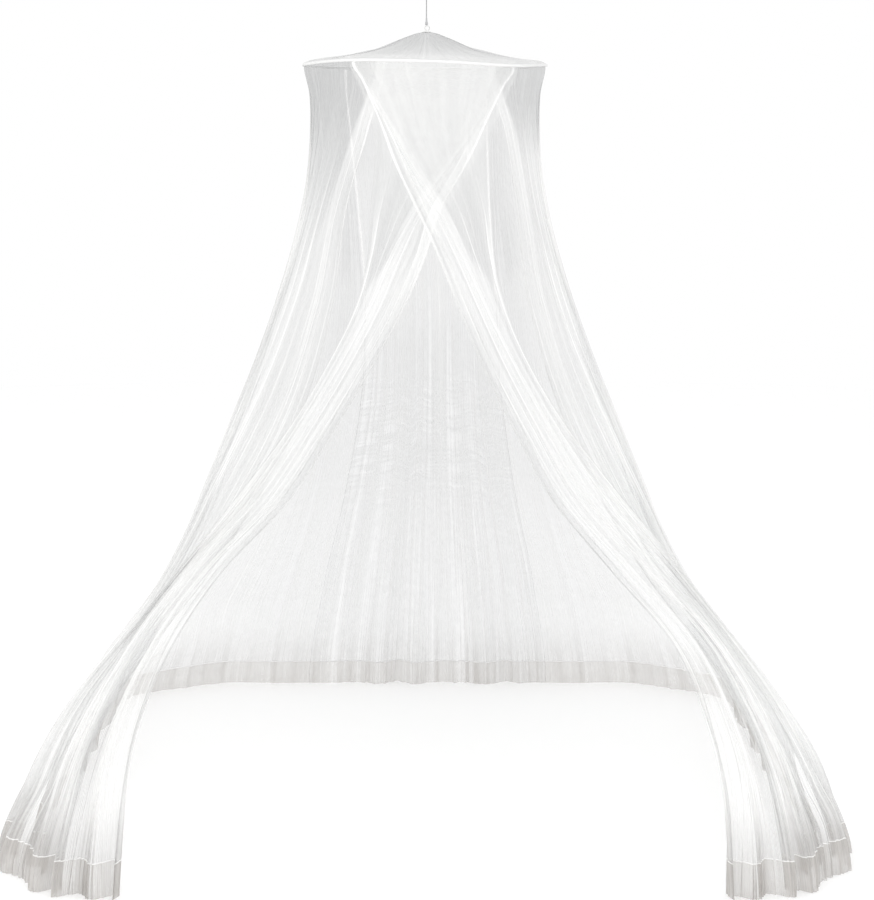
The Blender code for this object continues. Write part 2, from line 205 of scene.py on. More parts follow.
net = {
    "thin": (0.40, 0.404, 0.406, 1.0),        # a stretched layer that little light reaches
    "dense": (0.945, 0.944, 0.938, 1.0),      # gathers in full light
    # dusk, footHemShade and footShade are painted shade: under the hoop, on the foot's doubled hem, and
    # on the net just above it
    "dusk": (0.20, 0.203, 0.206, 1.0),        # where two layers darken each other under the hoop
    "footHemShade": (0.50, 0.474, 0.448, 1.0),    # the foot's doubled hem
    "footShade": (0.46, 0.448, 0.44, 1.0),    # the net just above it
    "faintest": 0.15, "leastAlpha": 0.34, "mostAlpha": 0.97,
    "mesh": 0.0021,                           # pitch of the net's holes
    "fullness": 1.4,                          # flat net to each metre across the folds
    "glow": 0.30, "footHem": 0.094, "stitch": 0.0022, "footFade": (0.09, 0.30),
    # noise patterns on the cloth: scale across, scale along the fall, detail, shift
    "bundle": (13.0, 0.35, 1.0, (3.1, 0.2, 0.0)), "fold": (46.0, 0.7, 2.0, (9.7, 1.3, 0.0)),
    "hair": (190.0, 1.6, 1.0, (1.7, 5.5, 0.0)), "blotch": (30.0, 24.0, 3.0, (4.4, 7.1, 0.0)),
    "level": (5.0, 62.0, 1.0, (2.2, 0.9, 0.0)), "patch": (5.0, 1.2, 2.0, (6.1, 3.3, 0.0)),
    "bump": 0.0025, "roughness": 0.88,
}


def netCloth(name):
    # each sheet's attributes say how dense, gathered and rippled its net is; tone, dusk and glow paint
    # it pale, dark or lit, as painted light and shade
    s = Shader(name)
    density = s.attribute("density")
    gather = s.attribute("gather")
    tone = s.attribute("tone")
    ripple = s.attribute("ripple")
    cloth = s.node("UVMap", {"uv_map": "cloth"})
    across, up, _ = s.axes(cloth)

    def pattern(label):
        wide, long, detail, shift = net[label]
        return s.noise(cloth, (wide, long, 1.0), detail, shift, flat=True)

    # bundles of gathers, single folds and hair lines, all drawn out along the fall
    bundle, fold, hair = pattern("bundle"), pattern("fold"), pattern("hair")
    streak = (bundle - 0.5) * 1.8 + (fold - 0.5) * 1.9 + (hair - 0.5) * 1.5
    # soft blotches where the layers cling, and small level ripples low on the back
    mottle = (pattern("blotch") - 0.5) * 0.34 + ripple * (pattern("level") - 0.5) * 0.8
    bright = fold.eased(0.56, 0.68) * 0.6 + hair.eased(0.60, 0.72) * 0.5
    # the knitted mesh itself: fine upright threads crossed by finer ones
    wale = (across * (math.pi * net["fullness"] / net["mesh"])).sine()
    course = (up * (math.pi / (net["mesh"] * 0.8)) + wale * 0.6).sine()
    mesh = abs(wale) * 0.55 + abs(course) * 0.45 - 0.64
    cover = density + mottle * 0.6 + gather * (streak * 0.55 + bright * 0.5)
    foot = 1 - (up > net["footHem"])
    seam = 1 - abs(up - net["footHem"]).eased(net["stitch"] * 0.5, net["stitch"])
    lower = 1 - up.eased(*net["footFade"])
    cover = (cover + foot * 0.20 + lower * 0.12 + seam * 0.5).least(1.0)
    alpha = cover * (net["mostAlpha"] - net["leastAlpha"]) + net["leastAlpha"]
    alpha = (alpha.most(net["faintest"]) - mesh * (1 - cover.clamped()) * 0.55).clamped()
    # painted light and shade along the fine folds and hair lines
    streaked = gather * (streak * 0.75 + bright * 0.45 - 0.10)
    light = (tone + mottle * 0.5 + streaked + foot * 0.1 + seam * 0.3).clamped()
    lined = (1 - seam * 0.85) * (0.72 + pattern("patch").eased(0.3, 0.7) * 0.28)
    # painted light and shade: from the shaded grey of a thin layer to the lit white of gathers, then
    # painted shade under the hoop (dusk), on the lower net and on the foot's doubled hem
    shade = s.blend(light, net["thin"], net["dense"])
    shade = s.blend(s.attribute("dusk"), shade, net["dusk"])
    shade = s.blend(lower * lined * 0.72, shade, net["footShade"])
    shade = s.blend(foot * lined * 0.70, shade, net["footHemShade"])
    lift = (bundle * 1.2 + fold) * gather - mesh * 0.05
    # painted glow, for the light that comes through the doubled net of a hem
    glow = s.blend(s.attribute("glow"), (0.0, 0.0, 0.0, 1.0), (1.0, 1.0, 1.0, 1.0))
    return s.finish(
        height=lift, distance=net["bump"], strength=0.5, Base_Color=shade, Alpha=alpha,
        Roughness=net["roughness"], Specular_IOR_Level=0.15,
        Emission_Color=glow, Emission_Strength=net["glow"],
    )


tape = {
    "pale": (0.95, 0.95, 0.945, 1.0), "shade": (0.86, 0.86, 0.85, 1.0),
    # dusk: painted shade for the sleeve's ends and rear half
    "dusk": (0.62, 0.62, 0.625, 1.0), "pitch": 0.0011,
}


def tapeCloth(name):
    # woven tape: a fine plain weave with faint soiling, and painted shade where the dusk attribute is
    # set
    s = Shader(name)
    x, y, z = s.axes(s.place())
    often = math.pi / tape["pitch"]
    weave = ((x + y * 0.7) * often).sine() * (z * often).sine()
    worn = s.noise(s.place(), (24.0, 24.0, 24.0), 3.0)
    grain = s.noise(s.place(), (420.0, 420.0, 420.0), 2.0)
    shade = s.blend((worn * 0.5 + grain * 0.35 + weave * 0.08).clamped(), tape["pale"], tape["shade"])
    # painted shade from the dusk attribute, made patchy by the soiling noise
    dusk = s.attribute("dusk") * (0.7 + worn * 0.6)
    shade = s.blend(dusk.clamped(), shade, tape["dusk"])
    return s.finish(
        height=weave * 0.5 + grain, distance=0.0006, strength=0.5, Base_Color=shade,
        Roughness=0.82 + worn * 0.1, Specular_IOR_Level=0.2,
    )


# pale and dark colours, and roughness
finishes = {
    "greyCap": ((0.52, 0.52, 0.53), (0.40, 0.40, 0.41), 0.5),
    "whitePlastic": ((0.76, 0.76, 0.755), (0.64, 0.64, 0.635), 0.32),
    "whiteRod": ((0.84, 0.84, 0.83), (0.74, 0.74, 0.73), 0.4),
    "whiteMetal": ((0.82, 0.82, 0.81), (0.70, 0.70, 0.69), 0.34),
}


def hardFinish(name, pale, dark, roughness):
    # moulded plastic and painted steel: faint flow marks, handling and fine grain
    s = Shader(name)
    marks = s.noise(s.place(), (38.0, 38.0, 90.0), 3.0)
    fine = s.noise(s.place(), (1320.0, 1320.0, 1320.0), 2.0)
    handled = marks.eased(0.42, 0.72)
    shade = s.blend(handled * 0.6 + fine * 0.2, (*pale, 1.0), (*dark, 1.0))
    return s.finish(
        height=fine * 0.5 + marks, distance=0.0003, strength=0.35, Base_Color=shade,
        Roughness=handled * 0.16 + roughness,
    )


def cordBraid(name):
    # a round braid: two sets of strands that cross as they wind up the cord
    s = Shader(name)
    x, y, z = s.axes(s.place())
    turn = s.maths("ARCTAN2", y, x) * cord["strands"]
    up = z * (2 * math.pi / cord["braidPitch"])
    over = (turn + up).sine()
    under = (turn - up).sine()
    strand = abs(over).most(abs(under))
    fuzz = s.noise(s.place(), (900.0, 900.0, 500.0), 2.0)
    # painted shade in the grooves between the strands, with fuzz
    shade = s.blend((strand * 0.7 + fuzz * 0.4 - 0.15).clamped(), cord["dark"], cord["pale"])
    return s.finish(
        height=strand + fuzz * 0.3, distance=0.0005, strength=0.7, Base_Color=shade,
        Roughness=0.78, Specular_IOR_Level=0.25,
    )


# the bell's shape, with the same values as the frame's
canopy = {
    "floorZ": -2.700,
    "hoopHeight": 2.400,
    "hoopX": -0.006,
    "hoopRadius": 0.415,
    "hoopTilt": math.radians(3.0),
    "bindingRadius": 0.0050,
    "gap": 0.0003,
    "netThickness": 0.0012,
    "seamDrift": 7.0,
    "wallLift": -0.0035,                      # the wall hangs this far inside the hoop's line
    "rimFollow": 1.7,                         # down to here the cloth follows the tilted rod
    "rimPulls": ((-0.011, 42, 26), (0.006, -35, 26)),  # height, angle from the front, spread
}
bell = {
    "columns": ("height", "halfWidth", "halfDepth", "squareness", "fold"),
    "rows": (
        (2.40, 0.415, 0.415, 2.00, 0.0003), (2.30, 0.396, 0.396, 2.00, 0.003),
        (2.16, 0.392, 0.392, 2.00, 0.005), (2.04, 0.400, 0.398, 2.05, 0.006),
        (1.90, 0.420, 0.415, 2.20, 0.008), (1.76, 0.453, 0.442, 2.40, 0.009),
        (1.60, 0.500, 0.482, 2.60, 0.010), (1.42, 0.560, 0.535, 2.80, 0.012),
        (1.22, 0.637, 0.602, 3.05, 0.014), (1.02, 0.716, 0.670, 3.30, 0.016),
        (0.82, 0.796, 0.742, 3.70, 0.019), (0.62, 0.905, 0.838, 4.30, 0.022),
        (0.46, 1.020, 0.938, 4.90, 0.024), (0.34, 1.108, 1.012, 5.40, 0.026),
        (0.18, 1.145, 1.050, 6.00, 0.028), (0.00, 1.190, 1.095, 6.50, 0.031),
    ),
}
wallEdges = {
    "columns": ("height", "frontLeft", "frontRight", "seamLeft", "seamRight"),
    "rows": (
        (2.40, -0.127, 0.205, -0.290, 0.225), (2.16, -0.185, 0.265, -0.270, 0.230),
        (1.90, -0.256, 0.303, -0.245, 0.240), (1.60, -0.296, 0.337, -0.225, 0.265),
        (1.22, -0.408, 0.451, -0.240, 0.290), (0.82, -0.645, 0.662, -0.310, 0.350),
        (0.44, -0.930, 0.935, -0.400, 0.430), (0.00, -1.090, 1.090, -0.470, 0.490),
    ),
}
panelColumns = ("height", "hem", "band", "far", "lift", "fold")
rightPanel = {
    "columns": panelColumns,
    "rows": (
        (2.40, -0.231, -0.205, 0.300, 0.0035, 0.0003),
        (2.30, -0.190, -0.158, 0.258, 0.020, 0.003),
        (2.16, -0.129, -0.092, 0.205, 0.030, 0.005),
        (2.04, -0.080, -0.030, 0.195, 0.040, 0.006),
        (1.90, -0.021, 0.048, 0.204, 0.050, 0.007),
        (1.76, 0.036, 0.112, 0.205, 0.052, 0.008),
        (1.60, 0.094, 0.180, 0.234, 0.050, 0.009),
        (1.42, 0.166, 0.264, 0.306, 0.046, 0.010),
        (1.22, 0.262, 0.370, 0.424, 0.044, 0.012),
        (1.02, 0.372, 0.486, 0.577, 0.044, 0.014),
        (0.82, 0.536, 0.654, 0.734, 0.046, 0.017),
        (0.62, 0.705, 0.820, 0.880, 0.051, 0.020),
        (0.44, 0.780, 0.920, 1.010, 0.055, 0.023),
        (0.25, 0.810, 0.985, 1.110, 0.060, 0.026),
        (0.00, 0.800, 1.020, 1.182, 0.064, 0.028),
    ),
}
leftPanel = {
    "columns": panelColumns,
    "rows": (
        (2.40, 0.291, 0.262, -0.241, 0.000, 0.0003),
        (2.30, 0.250, 0.215, -0.200, 0.010, 0.003),
        (2.16, 0.183, 0.140, -0.160, 0.014, 0.005),
        (2.04, 0.120, 0.060, -0.155, 0.019, 0.006),
        (1.90, 0.047, -0.030, -0.165, 0.024, 0.007),
        (1.76, 0.005, -0.104, -0.172, 0.026, 0.007),
        (1.60, -0.058, -0.168, -0.208, 0.029, 0.008),
        (1.42, -0.152, -0.256, -0.290, 0.032, 0.010),
        (1.22, -0.268, -0.372, -0.405, 0.035, 0.012),
        (1.02, -0.395, -0.500, -0.551, 0.040, 0.014),
        (0.82, -0.578, -0.675, -0.700, 0.046, 0.017),
        (0.62, -0.712, -0.822, -0.850, 0.051, 0.020),
        (0.44, -0.785, -0.920, -1.000, 0.055, 0.023),
        (0.25, -0.815, -0.990, -1.100, 0.052, 0.026),
        (0.00, -0.805, -1.025, -1.182, 0.064, 0.028),
    ),
}
sideFolds = {"count": 8.0, "uneven": 0.16, "start": 0.10}
backFolds = {"count": 5.0, "uneven": 0.20, "start": 0.35}
panelFolds = {"count": 5.5, "uneven": 0.14, "start": 0.25}


def gridOf(columns, rows):
    # a sheet's own places: 0 to 1 across it, and 0 to 1 from its top down
    return np.meshgrid(np.linspace(0, 1, columns + 1), np.linspace(0, 1, rows + 1))


def along(table, column, height):
    # a column's value at each height, on a smooth curve through the rows
    rows = np.array(table["rows"])[::-1]
    heights, values = rows[:, 0], rows[:, table["columns"].index(column)]
    slopes = np.zeros(len(heights))
    slopes[1:-1] = (values[2:] - values[:-2]) / (heights[2:] - heights[:-2])
    height = np.clip(height, heights[0], heights[-1])
    i = np.clip(np.searchsorted(heights, height, side="right") - 1, 0, len(heights) - 2)
    step = heights[i + 1] - heights[i]
    t = (height - heights[i]) / step
    ends = (2 * t**3 - 3 * t**2 + 1) * values[i] + (3 * t**2 - 2 * t**3) * values[i + 1]
    return ends + step * ((t**3 - 2 * t**2 + t) * slopes[i] + (t**3 - t**2) * slopes[i + 1])


def ease(low, high, value):
    # 0 at low, 1 at high, smooth between; low may be above high
    t = np.clip((value - low) / (high - low), 0.0, 1.0)
    return t * t * (3 - 2 * t)


def hill(angle, middle, spread):
    # 1 at the middle, in degrees from the front, and less to both sides
    away = (angle - math.radians(middle) + math.pi) % (2 * math.pi) - math.pi
    return np.exp(-((away / math.radians(spread)) ** 2))


def rimLift(angle):
    tilt = -np.cos(angle) * canopy["hoopRadius"] * math.tan(canopy["hoopTilt"])
    return tilt + sum(pull * hill(angle, middle, wide) for pull, middle, wide in canopy["rimPulls"])


def bellPoint(height, angle, lift):
    a = along(bell, "halfWidth", height) + lift
    b = along(bell, "halfDepth", height) + lift
    n = along(bell, "squareness", height)
    reach = (np.abs(np.sin(angle) / a) ** n + np.abs(np.cos(angle) / b) ** n) ** (-1 / n)
    start = canopy["rimFollow"]
    fade = np.clip((height - start) / (canopy["hoopHeight"] - start), 0.0, None) ** 2
    z = canopy["floorZ"] + height + rimLift(angle) * fade
    x = canopy["hoopX"] + reach * np.sin(angle)
    return np.stack((x, -reach * np.cos(angle), z), axis=-1)


def angleAt(x, height, front=True):
    a = along(bell, "halfWidth", height)
    b = along(bell, "halfDepth", height)
    n = along(bell, "squareness", height)
    depth = b * (1 - np.minimum(0.999, np.abs(x) / a) ** n) ** (1 / n)
    return np.arctan2(x, depth if front else -depth)


def foldWave(folds, across, height):
    # the main folds, as in the frame
    drift = 0.25 * np.sin(1.3 * height + canopy["seamDrift"] * across)
    wander = folds["uneven"] * np.sin(2 * math.pi * (1.7 * across + folds["start"]))
    phase = folds["count"] * across + wander * folds["count"] / 4 + folds["start"] + drift
    swell = 0.72 + 0.28 * np.sin(2 * math.pi * (2.3 * across + folds["start"]))
    return swell * np.sin(2 * math.pi * phase)


def gathers(across, height, seed, count, parts=7):
    # uneven fine folds, from about -1 to 1, that wander, split and fade as they fall
    dice = np.random.RandomState(seed)
    total = np.zeros_like(across)
    for k in range(parts):
        often = count * (0.55 + 1.1 * dice.rand())
        sway = 0.35 * np.sin(2 * math.pi * (height * (0.25 + 0.5 * dice.rand()) + dice.rand()))
        wave = np.sin(2 * math.pi * (often * across + dice.rand() + sway))
        crease = 1 - 2 * np.abs(wave) ** 0.8
        fade = 0.6 + 0.4 * np.sin(2 * math.pi * (1.5 * dice.rand() * height + dice.rand() + 2 * across))
        total += fade * (0.6 * wave + 0.4 * crease)
    return total / math.sqrt(parts)


def underBinding(lift):
    # how far below the rod's middle a cloth starts, so that it clears the round sleeve
    inner = np.clip(np.abs(lift) - canopy["netThickness"] / 2, 0.0, None)
    return np.sqrt(np.clip(canopy["bindingRadius"] ** 2 - inner**2, 0, None)) + canopy["gap"]


def hungPoint(height, angle, lift, fold):
    point = bellPoint(height, angle, lift + fold)
    seat = ease(2.35, 2.40, height)
    point[..., 2] -= underBinding(np.where(seat > 0, lift, 0.0)) * seat
    return point


def arcs(points):
    # distance along each row from its first point
    steps = np.linalg.norm(np.diff(points, axis=1), axis=2)
    return np.concatenate((np.zeros((len(points), 1)), np.cumsum(steps, axis=1)), axis=1)


def falls(points):
    # distance up each column from the foot
    steps = np.linalg.norm(np.diff(points, axis=0), axis=2)[::-1]
    up = np.concatenate((np.zeros((1, points.shape[1])), np.cumsum(steps, axis=0)), axis=0)
    return up[::-1]


def meshFrom(name, points, material, flip=False, spread=1.0, layers=None, above=0.0):
    # a sheet whose grid of points is laid out in rows from the top down
    rows, columns = points.shape[0] - 1, points.shape[1] - 1
    bm = bmesh.new()
    bmesh.ops.create_grid(bm, x_segments=columns, y_segments=rows, size=1.0)
    mesh = bpy.data.meshes.new(name)
    bm.to_mesh(mesh)
    bm.free()
    flat = np.zeros(len(mesh.vertices) * 3)
    mesh.vertices.foreach_get("co", flat)
    flat = flat.reshape(-1, 3)
    column = np.rint((flat[:, 0] + 1) / 2 * columns).astype(int)
    row = np.rint((1 - flat[:, 1]) / 2 * rows).astype(int)
    mesh.vertices.foreach_set("co", points[row, column].ravel())
    up = falls(points) + above
    corner = np.zeros(len(mesh.loops), dtype=int)
    mesh.loops.foreach_get("vertex_index", corner)
    cloth = np.stack((column / columns * spread, up[row, column]), axis=-1)
    mesh.uv_layers.new(name="cloth").data.foreach_set("uv", cloth[corner].ravel())
    for label, values in (layers or {}).items():
        made = mesh.attributes.new(label, "FLOAT", "POINT")
        made.data.foreach_set("value", values[row, column].astype(float).ravel())
    if flip:
        mesh.flip_normals()
    mesh.shade_smooth()
    mesh.materials.append(material)
    mesh.update()
    return placed(name, mesh)


def dress(piece, node):
    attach(piece, "root")
    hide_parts(node)


def weld(piece, distance, outwards=False):
    # joins the points where a grid closes on itself
    bm = bmesh.new()
    bm.from_mesh(piece.data)
    bmesh.ops.remove_doubles(bm, verts=bm.verts, dist=distance)
    if outwards:
        bmesh.ops.recalc_face_normals(bm, faces=bm.faces)
    bm.to_mesh(piece.data)
    bm.free()


def thicken(piece, thickness, offset=-1.0):
    solid = piece.modifiers.new("thickness", "SOLIDIFY")
    solid.thickness = thickness
    solid.offset = offset


def outward(points, flip):
    # unit normals of a grid of points, away from the canopy's inside
    acrossStep = np.gradient(points, axis=1)
    downStep = np.gradient(points, axis=0)
    normal = np.cross(acrossStep, -downStep)
    normal /= np.maximum(np.linalg.norm(normal, axis=2, keepdims=True), 1e-9)
    return -normal if flip else normal


hemStrip = {"steps": 4, "clear": 0.0010, "cloth": 0.0006}


def strip(name, points, material, start, width, thickness, flip, layers):
    # a hem or line of stitching laid on a sheet, from start to start + width off its first edge
    steps = hemStrip["steps"]
    arc = arcs(points)
    normal = outward(points, flip)
    lines = []
    for k in range(steps + 1):
        want = start + width * k / steps
        rise = thickness * math.sin(math.pi * k / steps) ** 0.5 + hemStrip["clear"]
        line, lean = (
            np.stack([
                [np.interp(want[r], arc[r], values[r, :, c]) for c in range(3)]
                for r in range(len(points))
            ])
            for values in (points, normal)
        )
        lines.append(line + lean * rise)
    grid = np.stack(lines, axis=1)
    spread = {label: np.repeat(rows[:, None], steps + 1, 1) for label, rows in layers.items()}
    obj = meshFrom(name, grid, material, flip, layers=spread)
    obj.visible_shadow = False
    thicken(obj, hemStrip["cloth"])
    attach(obj, "root")
    return obj


wall = {
    "columns": 430, "rows": 220, "flat": (2.75, 2.60), "area": 4.3, "spread": 2.2, "fine": 0.30,
    "seed": {"Left": 11, "Right": 12}, "gathers": 34, "crowding": 1.35,
    # the gathered front band: heights, and how wide it is there
    "band": ((0.0, 1.2, 1.55, 1.88, 2.15, 2.4), (0.9, 0.6, 0.34, 0.11, 0.065, 0.03)),
    "drawnFrom": {"Left": 1.80, "Right": 2.02},   # above this height the net is drawn tight
    # strengths of each wall's painted shade (shade, deep, dusk, slit) and painted light (rightLight,
    # outlineLight)
    "shade": {"Left": 0.22, "Right": 0.08}, "deep": {"Left": 1.0, "Right": 0.35},
    "dusk": {"Left": 0.42, "Right": 0.0}, "slit": 0.18, "rightLight": 0.14, "outlineLight": 0.34,
    "hemWidth": 0.0060, "hemThickness": 0.0012, "hemGlow": 0.4,
}


def wallPoints(side, sign):
    across, down = gridOf(wall["columns"], wall["rows"])
    height = canopy["hoopHeight"] * (1 - down)
    edge = angleAt(along(wallEdges, "front" + side, height), height)
    seam = angleAt(along(wallEdges, "seam" + side, height), height, front=False)
    apart = sign * canopy["gap"] / along(bell, "halfDepth", height)
    angle = edge + (seam - apart - edge) * across ** wall["crowding"]
    depth = along(bell, "fold", height)
    settle = np.minimum(1.0, 6 * (1 - across))
    main = depth * (0.45 + 0.55 * np.minimum(1.0, 3 * across)) * settle
    main = main * foldWave(sideFolds, across, height)
    fine = depth * wall["fine"] * settle * gathers(across, height, wall["seed"][side], wall["gathers"])
    points = hungPoint(height, angle, canopy["wallLift"], main + fine * ease(2.38, 2.1, height))
    sideways = np.abs(points[..., 0])
    halfWidth = along(bell, "halfWidth", height)
    # the gathered front band, then streaks that thin out towards the hoop
    arc = arcs(points)
    width = np.interp(height, *wall["band"])
    band = 1 - ease(width * 0.75, width * 1.1, arc)
    stretch = ease(wall["drawnFrom"][side], 2.32, height)
    crest = main / np.maximum(depth, 1e-6)
    behind = ease(-0.05, 0.35, points[..., 1])
    # dark: painted shade on the stretched net under the hoop
    dark = stretch * (1 - band)
    front = band * ease(0.9, 1.5, height)
    # the front half, where painted shade darkens the net between the hoop and the gathers below
    upper = ease(1.10, 1.35, height) * ease(2.22, 1.95, height)
    density = 0.28 + 0.44 * front * ease(2.42, 2.2, height) + 0.08 * crest + wall["shade"][side] * dark
    gather = (0.66 - 0.36 * dark - 0.20 * front) * (1 - 0.5 * behind)
    # painted light on the fold crests and low down, painted shade in the troughs and under the hoop
    tone = 0.46 + 0.45 * front - 0.48 * dark + 0.10 * crest + 0.09 * ease(1.1, 0.4, height)
    tone -= upper * (0.10 + 0.16 * front)
    # the rear half: painted shade under the hoop, darkest in a slit beside each back seam, and painted
    # light towards the sides
    aside = ease(0.55, 0.95, sideways / halfWidth)
    inner = upper * (1 - aside)
    deep = wall["deep"][side] * ease(1.85, 2.25, height)
    slit = ease(0.37, 0.30, sideways) * ease(1.60, 1.76, height) * ease(2.25, 2.12, height)
    slit = wall["slit"] * slit
    rearTone = 0.25 + 0.05 * crest + 0.35 * aside * (1 - stretch) - 0.25 * deep - 0.14 * inner - slit
    rearDensity = 0.24 + 0.08 * crest + 0.30 * deep + 0.10 * inner + 1.3 * slit
    tone = tone * (1 - behind) + behind * rearTone
    density = density * (1 - behind) + behind * rearDensity
    # painted light on a patch on the right, and on the outline, where the net is seen edge on
    right = ease(0.20, 0.34, points[..., 0]) * ease(2.28, 2.10, height) * ease(1.80, 2.00, height)
    outline = ease(0.90, 0.99, np.abs(points[..., 0] - canopy["hoopX"]) / halfWidth)
    outline *= ease(2.25, 1.95, height) * (1 - 0.55 * ease(1.80, 1.45, height))
    tone = tone + wall["rightLight"] * right + wall["outlineLight"] * outline
    # painted shade under the hoop on the front of the left wall, and in the slits beside the back seams
    dusk = wall["dusk"][side] * (1 - band) * (1 - behind) * ease(2.10, 2.30, height) + slit * behind
    return points, {"density": np.clip(density, 0, 1), "gather": gather, "tone": tone, "dusk": dusk}


def rowHeights(points):
    return np.linspace(canopy["hoopHeight"], 0, len(points))


def shownHigh(height, low, high, glow):
    # a hem of doubled net: bright where the net is drawn tight high up, lost in the folds below; its
    # glow is painted light
    shown = ease(low, high, height)
    return {
        "density": 0.34 + 0.80 * shown, "tone": 0.70 + 0.55 * shown, "gather": 0.25 - 0.20 * shown,
        "glow": glow,
    }


def hang(name, node, points, cloth, flip, spread, layers):
    sheet = meshFrom(name, points, cloth, flip, spread, layers)
    sheet.visible_shadow = False
    dress(sheet, node)
    return sheet


def addWalls(cloth):
    for side, sign, node in (("Left", -1, "wall_left"), ("Right", 1, "wall_right")):
        points, layers = wallPoints(side, sign)
        flip = sign < 0
        sheet = hang("wall" + side, node, points, cloth, flip, wall["spread"], layers)
        height = rowHeights(points)
        zero = np.zeros_like(height)
        edge = strip(
            "wallEdge" + side, points, cloth, zero, zero + wall["hemWidth"], wall["hemThickness"], flip,
            layers=shownHigh(height, 1.25, 1.75, wall["hemGlow"] * ease(2.05, 2.20, height)),
        )
    print("side walls hung")


back = {
    "columns": 300, "rows": 220, "flat": (1.05, 2.45), "area": 1.85, "spread": 1.0, "fine": 0.30,
    "seed": 21, "gathers": 16, "depth": 0.8,
    "seamNarrow": 0.0016, "seamMore": 0.0070, "seamThickness": 0.0010,
}


def addBack(cloth):
    across, down = gridOf(back["columns"], back["rows"])
    height = canopy["hoopHeight"] * (1 - down)
    left = angleAt(along(wallEdges, "seamLeft", height), height, front=False)
    right = angleAt(along(wallEdges, "seamRight", height), height, front=False) - 2 * math.pi
    apart = canopy["gap"] / along(bell, "halfDepth", height)
    angle = left - apart + (right + 2 * apart - left) * across
    settle = np.minimum(1.0, np.minimum(5 * across, 5 * (1 - across)))
    depth = along(bell, "fold", height)
    main = depth * back["depth"] * settle * foldWave(backFolds, across, height)
    fine = depth * back["fine"] * settle * gathers(across, height, back["seed"], back["gathers"])
    points = hungPoint(height, angle, canopy["wallLift"], main + fine * ease(2.38, 2.1, height))
    stretch = ease(1.3, 2.2, height)
    low = ease(1.60, 1.35, height)
    crest = main / np.maximum(depth, 1e-6)
    # darker low down, and painted shade beside the left seam just under the hoop; painted light and
    # shade on the fold crests
    slit = ease(0.26, 0.06, across) * ease(2.02, 2.10, height) * ease(2.26, 2.18, height)
    density = 0.24 + 0.08 * crest - 0.02 * stretch + 0.14 * low + 0.10 * slit
    tone = 0.27 + 0.05 * crest - 0.19 * low - 0.14 * slit
    layers = {
        "density": np.clip(density, 0, 1), "gather": 0.48 - 0.28 * stretch, "tone": tone,
        "ripple": ease(0.70, 0.95, height) * ease(1.38, 1.15, height),
    }
    sheet = hang("wallBack", "wall_back", points, cloth, True, back["spread"], layers)
    # the seams show through the front high up, and are lost in the folds below; their glow is painted
    # light
    zero = np.zeros(len(points))
    high = height[:, 0]
    shown = ease(1.35, 1.75, high)
    glows = {
        "Left": 0.20 * ease(1.60, 1.80, high) + 0.50 * ease(2.00, 2.25, high),
        "Right": 0.70 * ease(1.55, 1.75, high) * ease(2.20, 2.08, high),
    }
    for label, grid, turned in (("Left", points, False), ("Right", points[:, ::-1], True)):
        faded = {
            "density": 0.05 + 0.90 * shown, "tone": 0.32 + 0.83 * shown, "gather": zero,
            "glow": glows[label],
        }
        wide = back["seamNarrow"] + back["seamMore"] * shown
        seam = strip(
            "backSeam" + label, grid, cloth, zero, wide, back["seamThickness"], turned, layers=faded
        )
    print("back hung")


panel = {
    "columns": 300, "rows": 260, "flat": (1.05, 2.75), "area": 1.6, "spread": 0.62, "fine": 0.34,
    "gathers": 26, "share": 0.55, "room": 0.10, "softEdge": 0.050,
    "pull": 0.012,               # near the hoop the hem is drawn straight by this much
    "alone": 0.20,               # how much darker the net is where the other panel ends
    "veil": {"split": 0.40, "broad": 0.0},
    # the dense band beside the hem: heights, and how wide it is there
    "band": (
        (0.0, 0.6, 1.2, 1.6, 1.9, 2.1, 2.25, 2.4),
        (0.30, 0.17, 0.135, 0.125, 0.105, 0.072, 0.034, 0.012),
    ),
    "hemWidth": 0.0100, "hemNarrows": 0.0030, "hemThickness": 0.0014,
    "hemGlow": {"split": 0.4, "broad": 0.7}, "turningGlow": 0.12,
    "stitchWidth": 0.0045, "stitchThickness": 0.0010, "stitchGlow": 0.4,
    # the line of stitching: how far from the hem at the hoop, and how much more below
    "stitchOff": 0.006, "stitchFurther": 0.024,
    # gaps between the bundles of the dense band: middle, half width, depth
    "gaps": {
        "Right": ((0.40, 0.035, 0.26), (0.90, 0.035, 0.22)),
        "Left": ((0.39, 0.045, 0.34), (0.72, 0.02, 0.14)),
    },
}
# side, node, shape, seed, kind of hem, turned over
panelSides = (
    ("Right", "panel_right", rightPanel, 31, "split", False),
    ("Left", "panel_left", leftPanel, 32, "broad", True),
)


